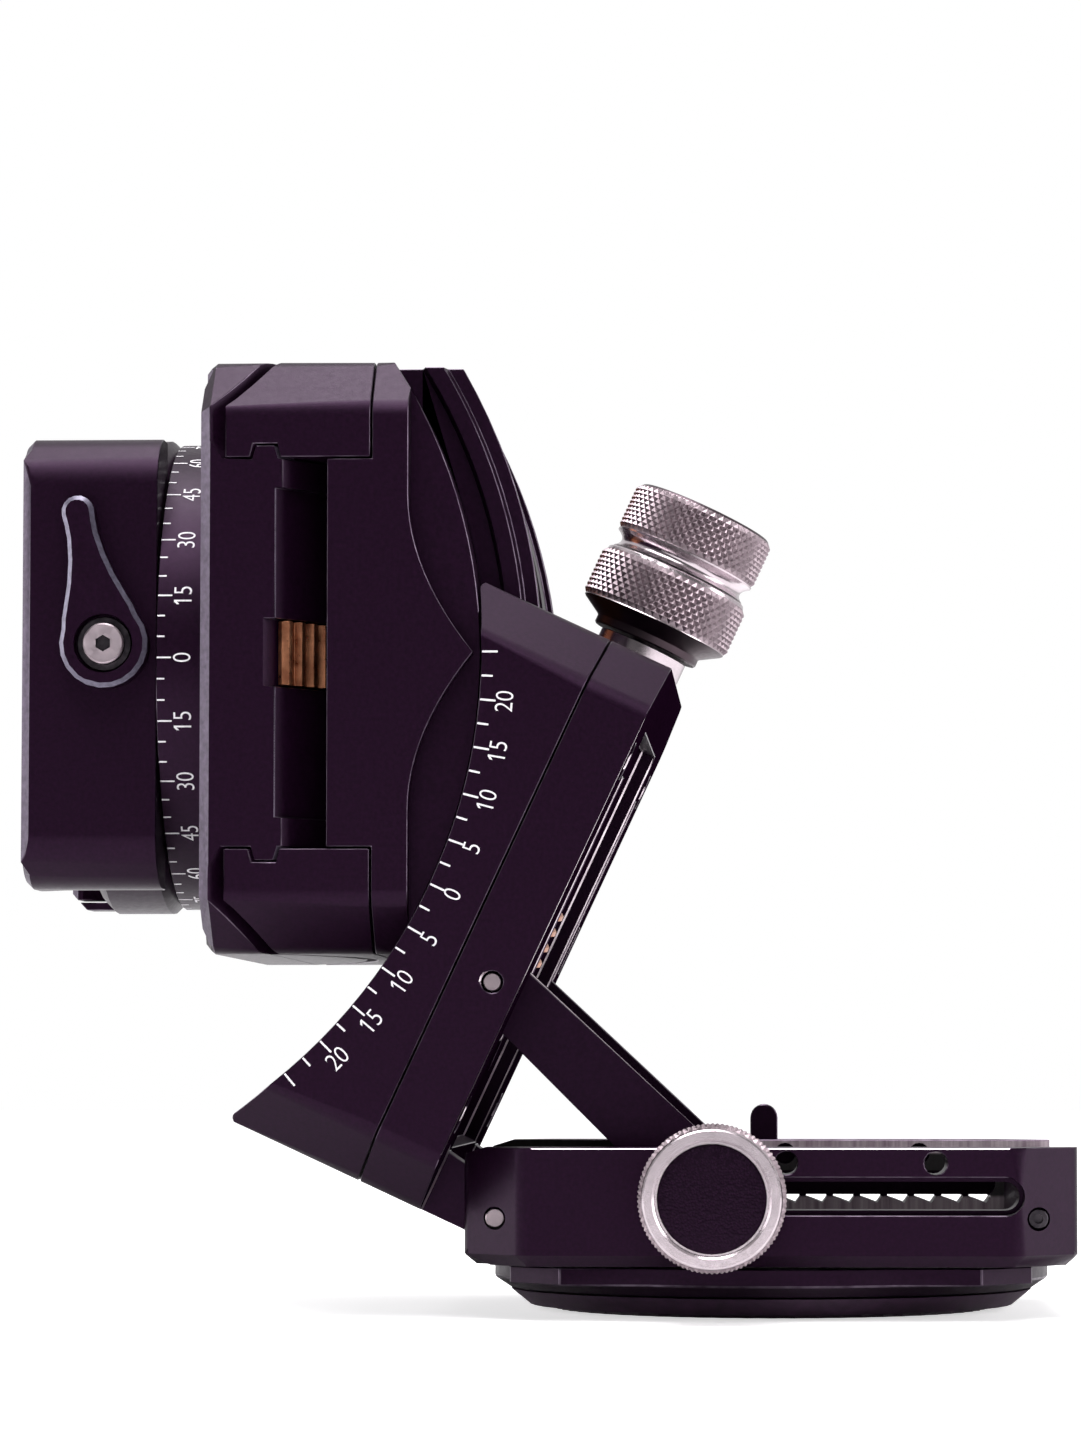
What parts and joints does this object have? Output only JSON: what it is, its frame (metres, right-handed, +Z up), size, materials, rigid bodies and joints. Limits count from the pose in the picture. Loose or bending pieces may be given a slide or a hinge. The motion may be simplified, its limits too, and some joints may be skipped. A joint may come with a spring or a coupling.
{
  "type": "geared tripod head",
  "caption": "Compact geared head on a folding wedge base: two arc stages driven by worms, a panning ring with a scale and a lever clamp.",
  "frame": {"origin": "centre of the face that rests on the tripod", "axes": "+Z up; the scales face -Y; the arc stages overhang towards -X; the fold's hinge runs along Y"},
  "size_m": [0.1423, 0.1178, 0.1287],
  "materials": {
    "black_anodised": "satin black anodising with bright chamfered edges",
    "polished_steel": "polished",
    "knurled_metal": "bare, diamond knurled",
    "bronze": "machined bronze",
    "black_grain": "fine leather grain",
    "black_screws": "blackened"
  },
  "bodies": {
    "base": {"tripod_pad": "black_anodised", "base_disc": "black_anodised", "tripod_bushing": "polished_steel", "base_frame": "black_anodised", "locating_tab": "black_anodised", "fold_pin": "polished_steel", "end_screw_near": "black_screws", "end_screw_far": "black_screws", "base_screw_1": "black_screws", "base_screw_2": "black_screws", "base_screw_3": "black_screws", "base_screw_4": "black_screws"},
    "tilting_frame": {"frame_block": "black_anodised", "front_cradle": "black_anodised", "rear_cradle": "black_anodised", "link_pin_near": "polished_steel", "link_pin_far": "polished_steel", "front_worm_bush": "bronze", "front_worm_collar": "polished_steel", "cradle_screw_1": "black_screws", "cradle_screw_2": "black_screws", "cradle_screw_3": "black_screws", "cradle_screw_4": "black_screws"},
    "fold_link": {"link_arm_near": "black_anodised", "link_arm_far": "black_anodised", "link_spacer": "black_anodised"},
    "lock_slider": {"lock_shaft": "polished_steel", "slide_bush": "polished_steel"},
    "lock_handwheel": {"lock_knob": "knurled_metal", "lock_knob_inset": "black_grain"},
    "front_drive": {"front_worm": "bronze", "front_worm_shaft": "polished_steel", "front_drive_knob": "knurled_metal"},
    "front_release": {"front_release_ring": "knurled_metal"},
    "middle_stage": {"middle_block": "black_anodised", "lower_rack": "bronze", "upper_cradle_right": "black_anodised", "upper_cradle_left": "black_anodised", "side_worm_collar": "polished_steel"},
    "side_drive": {"side_worm": "bronze", "side_worm_shaft": "polished_steel", "side_drive_knob": "knurled_metal"},
    "side_release": {"side_release_ring": "knurled_metal"},
    "upper_stage": {"upper_plate": "black_anodised", "upper_rack": "bronze", "pan_ring": "black_anodised", "pan_spindle": "black_anodised"},
    "pan_lock": {"pan_lock_screw": "polished_steel", "pan_lock_knob": "knurled_metal"},
    "clamp": {"clamp_body": "black_anodised", "guide_pin_right": "polished_steel", "guide_pin_left": "polished_steel", "stop_plate": "black_anodised"},
    "sliding_jaw": {"moving_jaw": "black_anodised"},
    "quick_lever": {"clamp_lever": "black_anodised", "lever_washer": "black_screws", "lever_screw": "polished_steel", "cam_shaft": "polished_steel"}
  },
  "joints": [
    {"name": "fold", "type": "hinge", "parent": "base", "child": "tilting_frame", "pos_m": [-0.0366, 0, 0.0135], "axis": [0, 1, 0], "range_deg": [0, 65]},
    {"name": "link_swing", "type": "hinge", "parent": "tilting_frame", "child": "fold_link", "pos_m": [-0.03672, 0, 0.04478], "axis": [0, 1, 0], "range_deg": [-91.7, 0]},
    {"name": "lock_slide", "type": "slide", "parent": "base", "child": "lock_slider", "axis": [1, 0, 0], "range_m": [0, 0.0387]},
    {"name": "lock_turn", "type": "hinge", "parent": "lock_slider", "child": "lock_handwheel", "pos_m": [-0.0075, -0.04, 0.0165], "axis": [0, -1, 0], "range_deg": [0, 540]},
    {"name": "front_tilt", "type": "hinge", "parent": "tilting_frame", "child": "middle_stage", "pos_m": [-0.11122, 0, 0.08868], "axis": [0, 1, 0], "range_deg": [0, 50]},
    {"name": "front_drive_turn", "type": "hinge", "parent": "tilting_frame", "child": "front_drive", "pos_m": [-0.03609, 0, 0.05364], "axis": [0.4226, 0, 0.9063], "range_deg": [0, 4925]},
    {"name": "front_release_turn", "type": "hinge", "parent": "tilting_frame", "child": "front_release", "pos_m": [-0.03609, 0, 0.05364], "axis": [0.4226, 0, 0.9063], "range_deg": [0, 40], "stiffness_Nm_per_rad": 0.05},
    {"name": "side_tilt", "type": "hinge", "parent": "middle_stage", "child": "upper_stage", "pos_m": [-0.11122, 0, 0.08868], "axis": [0, 0, 1], "range_deg": [-25, 25]},
    {"name": "side_drive_turn", "type": "hinge", "parent": "middle_stage", "child": "side_drive", "pos_m": [-0.04422, 0, 0.08868], "axis": [0, 1, 0], "range_deg": [-1972, 1972]},
    {"name": "side_release_turn", "type": "hinge", "parent": "middle_stage", "child": "side_release", "pos_m": [-0.04422, 0, 0.08868], "axis": [0, 1, 0], "range_deg": [0, 40], "stiffness_Nm_per_rad": 0.05},
    {"name": "pan", "type": "hinge", "parent": "upper_stage", "child": "clamp", "pos_m": [-0.11122, 0, 0.08868], "axis": [-1, 0, 0], "continuous": true},
    {"name": "pan_lock_turn", "type": "hinge", "parent": "upper_stage", "child": "pan_lock", "pos_m": [-0.07942, 0, 0.08868], "axis": [0, 1, 0], "range_deg": [0, 360]},
    {"name": "jaw_slide", "type": "slide", "parent": "clamp", "child": "sliding_jaw", "axis": [0, -1, 0], "range_m": [0, 0.0026]},
    {"name": "lever_turn", "type": "hinge", "parent": "sliding_jaw", "child": "quick_lever", "pos_m": [-0.08972, -0.03, 0.09058], "axis": [0, -1, 0], "range_deg": [0, 110]}
  ],
  "couplings": [
    {"joint": "link_swing", "follows": "fold", "ratio": -1.41},
    {"joint": "lock_slide", "follows": "fold", "m_per_rad": 0.034034},
    {"joint": "front_drive_turn", "follows": "front_tilt", "ratio": 98.433},
    {"joint": "side_drive_turn", "follows": "side_tilt", "ratio": -78.757},
    {"joint": "lever_turn", "follows": "jaw_slide", "rad_per_m": 738}
  ]
}
